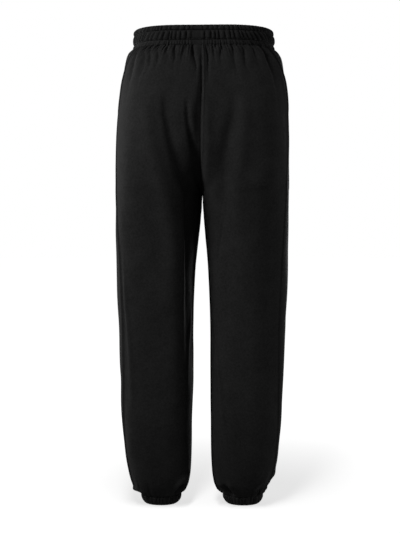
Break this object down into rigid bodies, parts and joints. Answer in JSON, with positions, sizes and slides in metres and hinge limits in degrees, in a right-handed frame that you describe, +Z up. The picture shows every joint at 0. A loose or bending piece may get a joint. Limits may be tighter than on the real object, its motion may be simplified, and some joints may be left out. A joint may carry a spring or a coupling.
{
  "type": "jogger sweatpants",
  "caption": "Hollow fleece jogger sweatpants with a gathered elastic waistband, side seam pockets and gathered elastic cuffs, filled out as worn.",
  "frame": {"origin": "middle of the waist opening, at mid height of the waistband, where the wearer's waist holds the garment up", "axes": "+Z up through the waist opening, +X to the wearer's left, -Y to the front"},
  "size_m": [0.3726, 0.2629, 1.0192],
  "materials": {
    "fleece": "matt black brushed cotton fleece with a short nap",
    "gathered_band": "matt black fleece gathered over elastic",
    "pocketing": "plain black cotton jersey"
  },
  "bodies": {
    "root": {"waistband": "gathered_band", "front_left": "fleece", "front_right": "fleece", "back_left": "fleece", "back_right": "fleece", "pocket_bag_left": "pocketing", "pocket_bag_right": "pocketing", "hem_left": "gathered_band", "hem_right": "gathered_band"}
  },
  "joints": []
}
